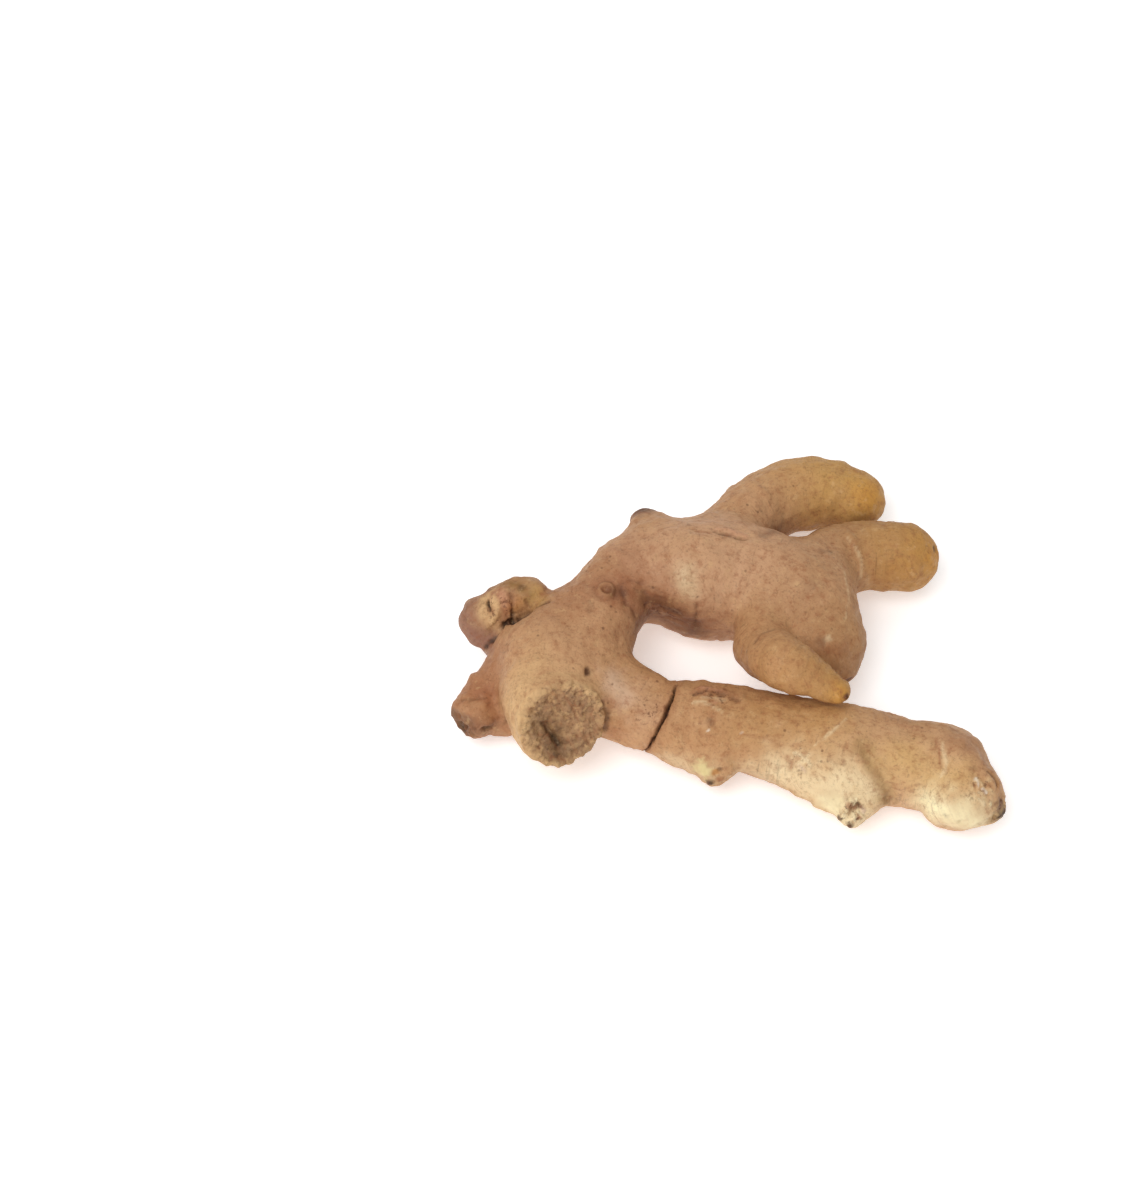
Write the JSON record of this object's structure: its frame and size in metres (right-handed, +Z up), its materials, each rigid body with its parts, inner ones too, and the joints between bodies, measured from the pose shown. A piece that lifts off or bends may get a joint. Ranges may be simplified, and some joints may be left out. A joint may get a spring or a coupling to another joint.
{
  "type": "ginger root",
  "caption": "Whole fresh ginger root lying flat: a rounded crown with a cut stem scar and stubby fingers spread round an open middle.",
  "frame": {"origin": "middle of the bounding box's footprint, at the surface that the root lies on", "axes": "+X along the hand's longest side, towards the long finger's tip, +Y away from the side with the stem scar, +Z up"},
  "size_m": [0.164, 0.1347, 0.0412],
  "materials": {
    "skin": "matte"
  },
  "bodies": {
    "root": {"rhizome": "skin"}
  },
  "joints": []
}
